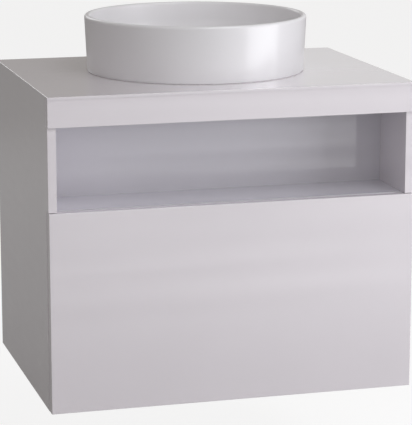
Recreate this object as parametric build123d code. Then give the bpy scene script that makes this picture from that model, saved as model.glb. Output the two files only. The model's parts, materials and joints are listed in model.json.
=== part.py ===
from build123d import *
import os
from math import floor

# Wall-hung washstand: a cabinet with one push-to-open drawer under an open niche, a thick top,
# and a round vessel basin with its waste and bottle trap.
# Millimetres. +Z is up, the wall is the plane y = 0 and the fronts look towards -Y.
# Heights are worked out from the cabinet's underside; save() moves each piece so that the
# origin is on the wall plane, midway between the four screw holes of the two wall plates.

# ---------------------------------------------------------------- driving dimensions

# cabinet
width = 700.0             # over the side panels
depth = 510.0             # wall to the front edge of the top plate
height = 588.0            # underside to the top of the plate
board = 16.0              # carcass boards
front_board = 18.0        # drawer front
worktop_board_thick = 18.0
plate_thick = 5.0         # glossy plate on the top
plate_overhang = 1.0      # plate in front of the fascia and the drawer front
band_height = 56.0        # fascia and plate together
niche_height = 155.0
niche_depth = 143.0       # plate's front edge to the niche's back wall
reveal = 1.0              # gap over the drawer front
front_inset = 0.5         # fronts end this far inside the side panels' outer faces
edge_setback = 4.0        # side panels' edges beside the niche, behind the fronts
press_gap = 2.0           # held open by the push latches, so that the front can be pressed
edge_round = 0.8          # rounded edges of the lacquered boards

# wall fixing
fixing_drop = 68.0        # wall plates' screw holes below the top of the plate
wall_plate_gap = 2.0      # wall plate to the side panel
screw_spacing = 24.0      # between the two holes of one wall plate
wall_hole_radius = 3.25
wall_plate_width = 54.0
wall_plate_height = 40.0
wall_plate_sheet = 2.5
lip_offset = 6.0          # lip of the wall plate, in front of the wall
lip_height = 12.0
hook_bar = 8.0            # hook's width and height
hook_tooth = 8.0          # drop behind the lip
hook_side_gap = 4.0       # hook to the side panel
housing_size = (16.0, 56.0, 40.0)
housing_top_gap = 1.0
rail_setback = 14.0       # rear rails in front of the wall
upper_rail_height = 75.0
lower_rail_height = 80.0

# dowels and cam fittings
dowel_radius = 4.0
dowel_length = 30.0
dowel_skin = 4.0          # board left over the end of a dowel
dowel_play = 0.1
cam_radius = 7.5
cam_depth = 12.5
cam_distance = 24.0       # board's end to the middle of the cam
cam_bolt_radius = 3.0
cam_bolt_neck = 2.2
cam_bolt_grip = 11.0      # in the side panel
cam_bolt_head = 4.0       # length of the head inside the cam
cam_play = 0.1
fitting_inset = 50.0      # first fitting behind a board's front edge, and before its rear edge
fitting_pitch = 34.0      # dowel beside its cam

# drawer
drawer_board = 15.0
drawer_base_thick = 10.0
drawer_base_height = 12.0  # underside of the sides to the underside of the base
groove_depth = 6.0
groove_play = 0.1
drawer_lift = 40.0        # cabinet's underside to the drawer's underside
drawer_side_height = 200.0
runner_step = 50.0        # runners come in lengths of this step
runner_rear_room = 40.0
runner_front_gap = 2.0    # carcass front edge to the runner's front end
drawer_past_runner = 30.0
runner_width = 12.7
runner_sheet = 1.2
runner_height = 45.0
runner_lift = 72.0        # drawer's underside to the runner's centre line
flange_gap = 2.2          # outer flanges' ends to the drawer's side
web_gap = 1.4             # between the webs of the outer and the middle member
inner_flange_gap = 5.0    # side panel to the inner member's flange ends
ball_radius = 2.4
ball_play = 0.3
ball_pitch = 24.0
balls_in_row = 6
cage_sheet = 0.6
cage_web_gap = 0.4
cage_flange = 8.0
cage_hole_play = 0.1

# push latches
latch_size = (28.0, 72.0, 18.0)
latch_screw_grip = 11.0
latch_from_side = 90.0    # side panel's inner face to the latch's middle
plunger_radius = 4.0
plunger_length = 60.0
plunger_play = 0.3
plunger_gap = 0.2         # tip to the back of the drawer front
plunger_travel = 1.8

# screws
screw_shank = 1.75
screw_head = 3.5
screw_length = 13.0
screw_play = 0.05
front_screw_length = 28.0

# basin
rim_radius = 215.0
basin_taper = 5.0         # rim's radius over the foot's
basin_height = 107.2
seal_thick = 0.8
basin_wall_gap = 15.0     # rim to the wall
rim_thick = 10.5
lip_round = 4.9
bowl_round = 58.0
bowl_narrowing = 4.0      # inner wall, from the rim to the bowl's floor
floor_at_wall = 20.0
floor_at_drain = 14.0
foot_width = 22.0
foot_recess = 6.0
hub_width = 37.0          # flat hub round the waste hole
seal_width = 12.0
seal_inset = 1.6          # seal's edge inside the foot's, where the foot's rounding ends
foot_round = 1.5
flange_play = 1.5         # waste flange in its recess

# waste
waste_radius = 21.0
waste_wall = 2.5
waste_hole_play = 2.0
flange_width = 10.5       # flange past the threaded tube
flange_thick = 2.0
flange_gasket_thick = 1.5
flange_recess = 2.5
waste_below_board = 33.0
locknut_height = 9.0
locknut_wall = 9.0        # nuts: from the thread to the corners
washer_thick = 3.0
thread_play = 0.1
bridge_thick = 3.0
bridge_height = 8.0
bridge_drop = 22.0        # flange's seat to the underside of the bridge
cartridge_radius = 5.0
cartridge_rim = 2.0
cartridge_floor = 2.0
stem_gap = 1.0            # stem's foot above the cartridge's floor
dome_rise = 1.8           # plug's dome, over its rim
stem_radius = 2.2
stem_play = 0.08
plug_inset = 3.0          # plug's edge inside the flange's
plug_thick = 3.5
plug_gap = 0.3
plug_travel = 8.0

# trap
pipe_radius = 16.0
pipe_wall = 1.5
slip_play = 0.2
collar_inset = 0.5        # inlet pipe's collar inside the waste's thread
collar_thick = 4.0
seal_ring = 2.0
union_nut_wall = 6.0
union_nut_lip = 8.0
union_nut_height = 22.0
neck_wall = 4.0           # room for the slip seal round the pipe
slip_nut_wall = 5.0
slip_nut_height = 20.0
slip_nut_lip = 6.0
slip_seal = 4.0
inlet_visible = 38.0      # union nut to the slip nut below it
neck_height = 18.0
bottle_room = 11.5        # water's way round the inlet pipe
bottle_wall = 2.5
bottle_height = 73.0
outlet_drop = 38.0        # neck's foot to the outlet's axis
arm_length = 26.0
pipe_in_arm = 20.0
cup_overlap = 14.0
cup_wall = 3.5
cup_height = 32.0
cup_round = 8.0
pipe_end_gap = 8.0        # inlet pipe's lower end, above the bottle's open end
outlet_past_wall = 40.0
rosette_width = 14.0
rosette_depth = 10.0
rosette_sheet = 1.2

# ---------------------------------------------------------------- worked-out places

half = width / 2
inner = half - board                          # side panels' inner faces
front_plane = -(depth - plate_overhang)       # faces of the fascia and the drawer front
drawer_front_back = front_plane + front_board
carcass_front = drawer_front_back + press_gap
fascia_back = front_plane + board
niche_edge = front_plane + edge_setback
niche_back_face = -depth + niche_depth
niche_back_rear = niche_back_face + board
rail_back = -rail_setback
rail_face = rail_back - board

plate_under = height - plate_thick
worktop_under = plate_under - worktop_board_thick
niche_top = height - band_height
niche_floor_top = niche_top - niche_height
niche_floor_under = niche_floor_top - board
drawer_front_top = niche_floor_top - reveal
fixing_height = height - fixing_drop

base_radius = rim_radius - basin_taper
basin_y = -(basin_wall_gap + rim_radius)
flange_radius = waste_radius + flange_width
plug_radius = flange_radius - plug_inset
locknut_radius = waste_radius + locknut_wall
collar_radius = waste_radius - collar_inset
union_nut_radius = waste_radius + union_nut_wall
neck_radius = pipe_radius + neck_wall
slip_nut_radius = neck_radius + slip_nut_wall
bottle_radius = pipe_radius + bottle_room + bottle_wall
rosette_radius = pipe_radius + rosette_width
waste_hole = waste_radius + waste_hole_play

runner_room = rail_face - carcass_front - runner_rear_room
runner_length = runner_step * floor(runner_room / runner_step)
runner_front = carcass_front + runner_front_gap
runner_rear = runner_front + runner_length
runner_z = drawer_lift + runner_lift
drawer_half = inner - runner_width
drawer_inner = drawer_half - drawer_board
drawer_rear = drawer_front_back + runner_length + drawer_past_runner
drawer_top = drawer_lift + drawer_side_height
drawer_base_under = drawer_lift + drawer_base_height
drawer_base_top = drawer_base_under + drawer_base_thick


# ---------------------------------------------------------------- helpers

def block(x, y, z):
    """A box between three (low, high) pairs."""
    size = Box(x[1] - x[0], y[1] - y[0], z[1] - z[0])
    return Pos((x[0] + x[1]) / 2, (y[0] + y[1]) / 2, (z[0] + z[1]) / 2) * size


def turned(outline, rounds=()):
    """A solid turned about Z from (radius, height) points; rounds holds (point, fillet radius) pairs."""
    face = make_face(Polyline([(r, 0, z) for r, z in outline], close=True))
    for (r, z), radius in rounds:
        corner = face.vertices().sort_by_distance((r, 0, z))[0]
        face = fillet(corner, radius)
    return revolve(face, Axis.Z)


def ring(outer, bore, low, high):
    """A plain ring about Z."""
    return turned([(bore, low), (outer, low), (outer, high), (bore, high)])


def rod(start, end, radius):
    """A round bar between two points."""
    axis = Vector(*end) - Vector(*start)
    plane = Plane(origin=start, z_dir=axis)
    return extrude(plane * Circle(radius), axis.length)


def hexagon(across_corners, bore, low, high):
    """A hexagonal nut blank about Z."""
    blank = Pos(0, 0, low) * extrude(RegularPolygon(across_corners, 6), high - low)
    return blank - disc(bore, low, high)


def disc(radius, low, high):
    """A plain round solid about Z, also used as a cutter."""
    return Pos(0, 0, (low + high) / 2) * Cylinder(radius, high - low)


def mirrored(shape):
    """The same piece on the other side of the cabinet."""
    return mirror(shape, about=Plane.YZ)


def both(shapes):
    """Right-hand pieces and their mirror images."""
    return list(shapes) + [mirrored(s) for s in shapes]


def save(node, shape):
    """Writes one node; a list is a group of separate solids."""
    pieces = shape if isinstance(shape, list) else [shape]
    whole = Compound(children=[Pos(0, 0, -fixing_height) * p for p in pieces])
    if len(pieces) == 1:
        whole = Pos(0, 0, -fixing_height) * pieces[0]
    export_step(whole, f"parts/{node}.step")


def save_pair(node, right):
    """Writes the right-hand piece, or group of pieces, and its mirror image."""
    group = isinstance(right, list)
    save(f"{node}_right", right)
    save(f"{node}_left", [mirrored(p) for p in right] if group else mirrored(right))


# ---------------------------------------------------------------- dowels, cams and screws

def dowel(start, direction, into):
    """A dowel whose joint face is at start; it goes on by into along direction, and back by the rest."""
    d = Vector(*direction)
    low = Vector(*start) - d * (dowel_length - into)
    high = Vector(*start) + d * into
    return rod(tuple(low), tuple(high), dowel_radius)


def dowel_hole(start, direction, into):
    """The bore for a dowel, a little wider and longer at both ends."""
    d = Vector(*direction)
    low = Vector(*start) - d * (dowel_length - into + dowel_play)
    high = Vector(*start) + d * (into + dowel_play)
    return rod(tuple(low), tuple(high), dowel_radius + dowel_play)


def cam_set(y, z_low, z_high, from_below):
    """One cam and its bolt at the right-hand end of a level board. Returns cam, bolt and both bores."""
    mid = (z_low + z_high) / 2
    x = inner - cam_distance
    low = z_low if from_below else z_high - cam_depth
    cam = Pos(x, y, low) * disc(cam_radius, 0, cam_depth)
    cam -= rod((x - cam_bolt_head, y, mid), (x + cam_radius, y, mid), cam_bolt_radius + cam_play)
    bolt = rod((x, y, mid), (x + cam_bolt_head, y, mid), cam_bolt_radius)
    bolt += rod((x + cam_bolt_head, y, mid), (inner, y, mid), cam_bolt_neck)
    bolt += rod((inner, y, mid), (inner + cam_bolt_grip, y, mid), cam_bolt_radius)
    pocket = Pos(x, y, low) * disc(cam_radius + cam_play, -cam_play, cam_depth + cam_play)
    bolt_end = inner + cam_bolt_grip + cam_play
    bolt_bore = rod((x, y, mid), (bolt_end, y, mid), cam_bolt_radius + cam_play)
    return cam, bolt, pocket + bolt_bore, bolt_bore


def screw(at, direction, length=screw_length, play=0.0):
    """A countersunk screw with its head's face at a point, driven along direction."""
    shank = screw_shank + play
    head = screw_head + play
    foot = length + play
    profile = turned([(0, 0), (head, 0), (shank, head - shank), (shank, foot), (0, foot)])
    return Plane(origin=at, z_dir=direction).location * profile


os.makedirs("parts", exist_ok=True)

dowels = []
cam_discs = []
cam_bolts = []
side_cutters = []
board_cutters = {}


def pin_board(name, z_low, z_high, cam_rows, dowel_rows, from_below=True):
    """Fits one level board between the sides: cams and dowels at both ends, bores in all pieces."""
    mid = (z_low + z_high) / 2
    into_side = board - dowel_skin
    cuts = []
    for y in cam_rows:
        cam, bolt, board_bore, side_bore = cam_set(y, z_low, z_high, from_below)
        cam_discs.extend(both([cam]))
        cam_bolts.extend(both([bolt]))
        cuts.extend(both([board_bore]))
        side_cutters.append(side_bore)
    for y in dowel_rows:
        dowels.extend(both([dowel((inner, y, mid), (1, 0, 0), into_side)]))
        hole = dowel_hole((inner, y, mid), (1, 0, 0), into_side)
        cuts.extend(both([hole]))
        side_cutters.append(hole)
    board_cutters.setdefault(name, []).extend(cuts)


def pin_rail(name, z_rows):
    """Fits one upright rear rail between the sides with dowels at both ends."""
    y = (rail_face + rail_back) / 2
    into_side = board - dowel_skin
    for z in z_rows:
        dowels.extend(both([dowel((inner, y, z), (1, 0, 0), into_side)]))
        hole = dowel_hole((inner, y, z), (1, 0, 0), into_side)
        board_cutters.setdefault(name, []).extend(both([hole]))
        side_cutters.append(hole)


row_front = carcass_front + fitting_inset
row_rear = rail_face - fitting_inset
niche_row = (carcass_front + niche_back_rear) / 2
pin_board("bottom_panel", 0, board, (row_front, row_rear),
          (row_front + fitting_pitch, row_rear - fitting_pitch))
pin_board("niche_floor", niche_floor_under, niche_floor_top, (niche_row,),
          (niche_row - fitting_pitch, niche_row + fitting_pitch))
pin_board("niche_ceiling", niche_top, niche_top + board, (niche_row,),
          (niche_row - fitting_pitch, niche_row + fitting_pitch), from_below=False)
pin_board("worktop_board", worktop_under, plate_under, (row_front, row_rear - fitting_inset),
          (row_front + fitting_pitch, row_rear - fitting_inset - fitting_pitch))
upper_rail_low = worktop_under - upper_rail_height
lower_rail_top = board + lower_rail_height
pin_rail("rear_rail_upper", (upper_rail_low + upper_rail_height / 3,))
pin_rail("rear_rail_lower", (board + lower_rail_height / 3, board + 2 * lower_rail_height / 3))


def pin_along(names, start, direction, into):
    """One dowel across the joint of two boards, with its bore in both."""
    dowels.append(dowel(start, direction, into))
    hole = dowel_hole(start, direction, into)
    for name in names:
        board_cutters.setdefault(name, []).append(hole)


into_fascia = board - dowel_skin
upright_pin = board - dowel_skin
for share in (-0.75, -0.25, 0.25, 0.75):
    x = inner * share
    pin_along(("front_fascia", "worktop_board"), (x, fascia_back, plate_under - worktop_board_thick / 2),
              (0, -1, 0), into_fascia)
    pin_along(("niche_back", "niche_floor"), (x, (niche_back_face + niche_back_rear) / 2, niche_floor_top),
              (0, 0, -1), upright_pin)


def bored(name, shape):
    """A board with all the bores of its fittings."""
    for cutter in board_cutters.get(name, []):
        shape -= cutter
    return shape


# ---------------------------------------------------------------- carcass

def side_panel():
    """Right-hand side: its edge shows beside the niche and stands back behind the fronts elsewhere."""
    outline = Polyline(
        [
            (0, 0, 0),
            (0, carcass_front, 0),
            (0, carcass_front, niche_floor_top),
            (0, niche_edge, niche_floor_top),
            (0, niche_edge, niche_top),
            (0, fascia_back, niche_top),
            (0, fascia_back, plate_under),
            (0, 0, plate_under),
        ],
        close=True,
    )
    face = make_face(outline)
    panel = extrude(Pos(inner, 0, 0) * face, board, dir=(1, 0, 0))
    outer_front = panel.edges().filter_by(Axis.Z).group_by(Axis.X)[-1].group_by(Axis.Y)[0]
    panel = fillet(outer_front, edge_round)
    for cutter in side_cutters:
        panel -= cutter
    return panel


def level_board(name, y, z):
    """A level board between the side panels."""
    return bored(name, block((-inner, inner), y, z))


def rear_rail(name, z):
    """An upright rail between the side panels, clear of the wall."""
    return bored(name, block((-inner, inner), (rail_face, rail_back), z))


front_half = half - front_inset
top_centre = Pos(0, basin_y, 0)

floor_z = (niche_floor_under, niche_floor_top)
bottom_panel = level_board("bottom_panel", (carcass_front, rail_face), (0, board))
niche_floor = level_board("niche_floor", (carcass_front, niche_back_rear), floor_z)
niche_ceiling = level_board("niche_ceiling", (fascia_back, niche_back_rear), (niche_top, niche_top + board))
worktop_board = level_board("worktop_board", (fascia_back, 0), (worktop_under, plate_under))
worktop_board -= top_centre * disc(waste_hole, worktop_under, plate_under)
niche_back = bored(
    "niche_back",
    block((-inner, inner), (niche_back_face, niche_back_rear), (niche_floor_top, niche_top)),
)
front_fascia = block((-front_half, front_half), (front_plane, fascia_back), (niche_top, plate_under))
fascia_front_edges = front_fascia.edges().filter_by(Axis.X).group_by(Axis.Y)[0]
front_fascia = fillet(fascia_front_edges.group_by(Axis.Z)[0], edge_round)
front_fascia = bored("front_fascia", front_fascia)

top_plate = block((-half, half), (-depth, 0), (plate_under, height))
top_plate = fillet(top_plate.edges().group_by(Axis.Z)[-1], edge_round)
top_plate -= top_centre * disc(waste_hole, plate_under, height)

rear_rail_lower = rear_rail("rear_rail_lower", (board, lower_rail_top))
rear_rail_upper = rear_rail("rear_rail_upper", (upper_rail_low, worktop_under))


# ---------------------------------------------------------------- wall hangers

plate_low = fixing_height - wall_plate_height / 2
lip_low = plate_low + wall_plate_height
lip_top = lip_low + lip_height
lip_face = -(lip_offset + wall_plate_sheet)
hook_x = (inner - hook_side_gap - hook_bar, inner - hook_side_gap)
hook_play = 0.5
housing_low = worktop_under - housing_top_gap - housing_size[2]
housing_y = (rail_face - housing_size[1], rail_face)
housing_x = (inner - housing_size[0], inner)


def wall_plate():
    """Sheet-steel plate screwed to the wall: a flat with two holes and a lip that stands forward."""
    x = inner - wall_plate_gap - wall_plate_width / 2
    span = (x - wall_plate_width / 2, x + wall_plate_width / 2)
    plate = block(span, (-wall_plate_sheet, 0), (plate_low, lip_low))
    plate += block(span, (lip_face, 0), (lip_low - wall_plate_sheet, lip_low))
    plate += block(span, (lip_face, -lip_offset), (lip_low - wall_plate_sheet, lip_top))
    for step in (-0.5, 0.5):
        z = fixing_height + step * screw_spacing
        plate -= rod((x, -wall_plate_sheet, z), (x, 0, z), wall_hole_radius)
    return plate


def hanger_hook():
    """Steel hook that rests on the lip of the wall plate, with a tooth behind it."""
    bar = block(hook_x, (housing_y[0] + hook_bar, -hook_play), (lip_top, lip_top + hook_bar))
    tooth = block(hook_x, (-lip_offset + hook_play, -hook_play), (lip_top - hook_tooth, lip_top))
    return bar + tooth


def hanger_housing():
    """Housing on the side panel that holds the hook, with two screws into the panel."""
    body = block(housing_x, housing_y, (housing_low, housing_low + housing_size[2]))
    body = fillet(body.edges().filter_by(Axis.X).group_by(Axis.Y)[0], 2 * edge_round)
    slot_x = (hook_x[0] - hook_play, hook_x[1] + hook_play)
    slot_z = (lip_top, lip_top + hook_bar + hook_play)
    return body - block(slot_x, (housing_y[0] + hook_bar - hook_play, housing_y[1]), slot_z)


def hook_notch():
    """Notch in the rear rail that lets the hook through."""
    x = (hook_x[0] - hook_play, hook_x[1] + hook_play)
    return block(x, (rail_face, rail_back), (lip_top - hook_play, worktop_under))


for notch in both([hook_notch()]):
    rear_rail_upper -= notch

housing = hanger_housing()
housing_screw_z = housing_low + housing_size[2] / 5
housing_screw_length = housing_size[0] + screw_length
hanger_screws = []
for share in (0.25, 0.75):
    at = (housing_x[0], housing_y[0] + share * housing_size[1], housing_screw_z)
    hanger_screws.append(screw(at, (1, 0, 0), housing_screw_length))
    cut = screw(at, (1, 0, 0), housing_screw_length, screw_play)
    housing -= cut
    side_cutters.append(cut)


# ---------------------------------------------------------------- drawer runners

def runner_screw_rows():
    """Screw places along a runner: near both ends and in the middle."""
    inset = runner_length / 20
    return (runner_front + inset, (runner_front + runner_rear) / 2, runner_rear - inset)


def channel(web, sheet, tall, reach, y, opens_inwards):
    """A C-section along Y. web is its back's distance from the side panel, reach the flanges' length."""
    back = (inner - web - sheet, inner - web)
    flange = (inner - web - reach, inner - web) if opens_inwards else (back[0], back[0] + reach)
    half_tall = tall / 2
    section = block(back, y, (runner_z - half_tall, runner_z + half_tall))
    section += block(flange, y, (runner_z + half_tall - sheet, runner_z + half_tall))
    section += block(flange, y, (runner_z - half_tall, runner_z - half_tall + sheet))
    return section


ball_room = 2 * (ball_radius + ball_play)
middle_height = runner_height - 2 * runner_sheet - 2 * ball_room
inner_height = middle_height - 2 * runner_sheet - 2 * ball_room
outer_ball_z = runner_height / 2 - runner_sheet - ball_room / 2
inner_ball_z = middle_height / 2 - runner_sheet - ball_room / 2
runner_flange = runner_width - flange_gap
inner_flange = runner_width - inner_flange_gap
middle_web = runner_sheet + web_gap
inner_web = runner_width - runner_sheet
run = (runner_front, runner_rear)

runner_outer = channel(0, runner_sheet, runner_height, runner_flange, run, True)
runner_middle = channel(middle_web, runner_sheet, middle_height, runner_flange - middle_web, run, True)
runner_inner = channel(inner_web, runner_sheet, inner_height, inner_flange, run, False)


def ball_cage(web, ball_z, reach):
    """A cage and its balls: a thin C-section with a hole for each ball. Returns separate solids."""
    length = ball_pitch * balls_in_row
    middle = (runner_front + runner_rear) / 2
    span = (middle - length / 2, middle + length / 2)
    cage = channel(web, cage_sheet, 2 * ball_z + cage_sheet, reach, span, True)
    x = inner - web - reach / 2 - cage_sheet
    balls = []
    for i in range(balls_in_row):
        y = span[0] + (i + 0.5) * ball_pitch
        for z in (runner_z - ball_z, runner_z + ball_z):
            balls.append(Pos(x, y, z) * Sphere(ball_radius))
            cage -= Pos(x, y, z) * Cylinder(ball_radius + cage_hole_play, 2 * ball_radius)
    return [cage] + balls


outer_cage = ball_cage(runner_sheet + cage_web_gap, outer_ball_z, cage_flange)
inner_cage_web = middle_web + runner_sheet + cage_web_gap / 2
inner_cage = ball_cage(inner_cage_web, inner_ball_z, runner_flange - inner_cage_web)

cabinet_runner_screws = []
drawer_runner_screws = []
drawer_side_cutters = []
for y in runner_screw_rows():
    place = (inner - runner_sheet, y, runner_z)
    cabinet_runner_screws.append(screw(place, (1, 0, 0)))
    cut = screw(place, (1, 0, 0), play=screw_play)
    runner_outer -= cut
    side_cutters.append(cut)
    place = (inner - inner_web, y, runner_z)
    drawer_runner_screws.append(screw(place, (-1, 0, 0)))
    cut = screw(place, (-1, 0, 0), play=screw_play)
    runner_inner -= cut
    drawer_side_cutters.append(cut)


# ---------------------------------------------------------------- drawer

drawer_front = block((-front_half, front_half), (front_plane, drawer_front_back), (0, drawer_front_top))
drawer_front = fillet(drawer_front.edges().group_by(Axis.Y)[0], edge_round)

groove_z = (drawer_base_under - groove_play, drawer_base_top + groove_play)
box_front_back = drawer_front_back + drawer_board
box_z = (drawer_lift, drawer_top)
box_front_y = (drawer_front_back, box_front_back)
groove_front = box_front_back - groove_depth
drawer_side = block((drawer_inner, drawer_half), (drawer_front_back, drawer_rear), box_z)
drawer_side -= block((drawer_inner, drawer_inner + groove_depth), (groove_front, drawer_rear), groove_z)
for cutter in drawer_side_cutters:
    drawer_side -= cutter

drawer_box_front = block((-drawer_inner, drawer_inner), box_front_y, box_z)
drawer_box_front -= block((-drawer_inner, drawer_inner), (groove_front, box_front_back), groove_z)

base_half = drawer_inner + groove_depth - groove_play
base_y = (groove_front + groove_play, drawer_rear)
back_y = (drawer_rear - drawer_board, drawer_rear)
drawer_base = block((-base_half, base_half), base_y, (drawer_base_under, drawer_base_top))
drawer_back = block((-drawer_inner, drawer_inner), back_y, (drawer_base_top, drawer_top))

front_screws = []
for share in (-0.8, -0.3, 0.3, 0.8):
    for z in (drawer_base_top + drawer_board, drawer_top - drawer_board):
        at = (drawer_inner * share, box_front_back, z)
        front_screws.append(screw(at, (0, -1, 0), front_screw_length))
        cut = screw(at, (0, -1, 0), front_screw_length, screw_play)
        drawer_box_front -= cut
        drawer_front -= cut


# ---------------------------------------------------------------- push latches

latch_x = inner - latch_from_side
latch_z = board + latch_size[2] / 2
latch_span = (carcass_front, carcass_front + latch_size[1])


def latch_housing():
    """Plastic housing on the bottom panel with a round guide for the plunger."""
    x = (latch_x - latch_size[0] / 2, latch_x + latch_size[0] / 2)
    body = block(x, latch_span, (board, board + latch_size[2]))
    body = fillet(body.edges().filter_by(Axis.Y).group_by(Axis.Z)[-1], 3 * edge_round)
    deep = carcass_front - press_gap + plunger_gap + plunger_length + plunger_travel + plunger_play
    guide = rod((latch_x, carcass_front, latch_z), (latch_x, deep, latch_z), plunger_radius + plunger_play)
    return body - guide


def latch_plunger():
    """Round plunger whose tip stands in the gap behind the drawer front."""
    tip = carcass_front - press_gap + plunger_gap
    bar = rod((latch_x, tip, latch_z), (latch_x, tip + plunger_length, latch_z), plunger_radius)
    return fillet(bar.edges().group_by(Axis.Y)[0], edge_round)


latch = latch_housing()
latch_screws = []
latch_screw_length = latch_size[2] + latch_screw_grip
for share in (0.2, 0.8):
    for side in (-1, 1):
        x = latch_x + side * (latch_size[0] / 2 - screw_head - 2 * edge_round)
        at = (x, latch_span[0] + share * latch_size[1], board + latch_size[2])
        latch_screws.append(screw(at, (0, 0, -1), latch_screw_length))
        cut = screw(at, (0, 0, -1), latch_screw_length, screw_play)
        latch -= cut
        for cutter in both([cut]):
            bottom_panel -= cutter


# ---------------------------------------------------------------- basin

seat = height + seal_thick                    # basin's underside
recess_z = floor_at_drain - flange_recess     # seat of the waste's gasket, above the basin's underside
recess_radius = flange_radius + flange_play
hub_radius = waste_hole + hub_width


def basin_body():
    """Round bowl with a thin rounded lip, a flat foot ring, and a hub round the waste hole."""
    lip_inner = rim_radius - rim_thick
    wall_foot = (lip_inner - bowl_narrowing, floor_at_wall)
    lip_points = ((rim_radius, basin_height), (lip_inner, basin_height))
    outline = [
        (waste_hole, 0),
        (hub_radius, 0),
        (hub_radius + foot_recess, foot_recess),
        (base_radius - foot_width - foot_recess, foot_recess),
        (base_radius - foot_width, 0),
        (base_radius, 0),
        lip_points[0],
        lip_points[1],
        wall_foot,
        (recess_radius, floor_at_drain),
        (recess_radius, recess_z),
        (waste_hole, recess_z),
    ]
    rounds = [(lip_points[0], lip_round), (lip_points[1], lip_round), (wall_foot, bowl_round)]
    rounds.append(((base_radius, 0), foot_round))
    return turned(outline, rounds)


basin = top_centre * Pos(0, 0, seat) * basin_body()
seal_outer = base_radius - seal_inset
basin_seal = top_centre * ring(seal_outer, seal_outer - seal_width, height, seat)


# ---------------------------------------------------------------- waste

flange_seat = seat + recess_z + flange_gasket_thick
flange_top = flange_seat + flange_thick
waste_bottom = worktop_under - waste_below_board
waste_bore = waste_radius - waste_wall
bridge_low = flange_seat - bridge_drop
bridge_top = bridge_low + bridge_height


def waste_body():
    """Flanged tube through basin and top, with a cross bridge that carries the plug's cartridge."""
    body = turned([
        (waste_bore, waste_bottom),
        (waste_radius, waste_bottom),
        (waste_radius, flange_seat),
        (flange_radius, flange_seat),
        (flange_radius, flange_top - flange_thick / 2),
        (flange_radius - flange_thick / 2, flange_top),
        (waste_bore, flange_top),
    ])
    for turn in (0, 90):
        bar = Box(2 * waste_bore + waste_wall, bridge_thick, bridge_height)
        body += Pos(0, 0, bridge_low + bridge_height / 2) * Rot(0, 0, turn) * bar
    body += disc(cartridge_radius + bridge_thick, bridge_low, bridge_top)
    return body - disc(cartridge_radius + thread_play, bridge_low, bridge_top)


stem_low = bridge_low + cartridge_floor
plug_under = flange_top + plug_gap
cartridge_top = bridge_top + bridge_height


def plug_cap():
    """Round cap that closes the waste, with a shallow domed top."""
    crown = plug_under + plug_thick
    dome_radius = (plug_radius ** 2 + dome_rise ** 2) / (2 * dome_rise)
    ball = Pos(0, 0, crown - dome_radius) * Sphere(dome_radius)
    return disc(plug_radius, plug_under, crown) & ball


waste = top_centre * waste_body()
flange_gasket = top_centre * ring(flange_radius - flange_thick, waste_hole, seat + recess_z, flange_seat)
cartridge = top_centre * (
    ring(cartridge_radius, stem_radius + stem_play, stem_low, cartridge_top)
    + ring(cartridge_radius + cartridge_rim, stem_radius + stem_play, bridge_top, cartridge_top)
    + disc(cartridge_radius, bridge_low, stem_low)
)
plug = top_centre * plug_cap()
plug_stem = top_centre * disc(stem_radius, stem_low + stem_gap, plug_under)
washer_under = worktop_under - washer_thick
waste_washer = top_centre * ring(locknut_radius, waste_radius + thread_play, washer_under, worktop_under)
locknut = top_centre * hexagon(
    locknut_radius, waste_radius + thread_play, washer_under - locknut_height, washer_under
)


# ---------------------------------------------------------------- bottle trap

slip_bore = pipe_radius + slip_play
collar_top = waste_bottom - seal_ring
collar_under = collar_top - collar_thick
union_low = collar_under - union_nut_lip
union_high = union_low + union_nut_height
slip_high = union_low - inlet_visible
slip_shoulder = slip_high - slip_nut_lip
neck_top = slip_shoulder - slip_seal
neck_foot = neck_top - neck_height
bottle_low = neck_foot - bottle_height
outlet_z = neck_foot - outlet_drop
inlet_low = bottle_low + pipe_end_gap
bottle_bore = bottle_radius - bottle_wall
arm_end = bottle_radius + arm_length
to_outlet = Pos(0, basin_y, outlet_z) * Rot(-90, 0, 0)     # turns +Z to +Y, towards the wall


def union_nut():
    """Nut that pulls the inlet pipe's collar up against the waste."""
    nut = hexagon(union_nut_radius, slip_bore, union_low, union_high)
    return nut - disc(waste_radius + thread_play, collar_under, union_high)


def slip_nut(low):
    """Nut that squeezes a seal round a sliding pipe; low is its open, threaded end."""
    high = low + slip_nut_height
    nut = hexagon(slip_nut_radius, slip_bore, low, high)
    return nut - disc(neck_radius + thread_play, low, high - slip_nut_lip)


def slip_ring(low):
    """Rubber ring under a slip nut's lip."""
    return ring(neck_radius - thread_play, pipe_radius + thread_play, low, low + slip_seal)


def trap_body():
    """Bottle with a neck for the inlet pipe, an arm for the outlet pipe and an open lower end."""
    outside = turned([
        (0, bottle_low),
        (bottle_radius, bottle_low),
        (bottle_radius, neck_foot - bottle_wall),
        (bottle_radius - bottle_wall, neck_foot),
        (neck_radius, neck_foot),
        (neck_radius, neck_top),
        (0, neck_top),
    ])
    inside = turned([
        (0, bottle_low),
        (bottle_bore, bottle_low),
        (bottle_bore, neck_foot - bottle_wall),
        (slip_bore, neck_foot - bottle_wall),
        (slip_bore, neck_top),
        (0, neck_top),
    ])
    place = Pos(0, basin_y, 0)
    arm = to_outlet * disc(neck_radius, 0, arm_end)
    arm_bore = to_outlet * disc(slip_bore, 0, arm_end)
    return place * outside + arm - place * inside - arm_bore


def trap_cup():
    """Cup screwed on the bottle's lower end, taken off to clean the trap."""
    rim = bottle_low + cup_overlap
    foot = rim - cup_height
    outer = bottle_radius + cup_wall
    cup = turned(
        [(0, foot), (outer, foot), (outer, rim), (0, rim)],
        [((outer, foot), cup_round)],
    )
    cup -= disc(bottle_radius + thread_play, bottle_low - seal_ring, rim)
    return cup - disc(bottle_bore, foot + cup_wall, bottle_low)


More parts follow.
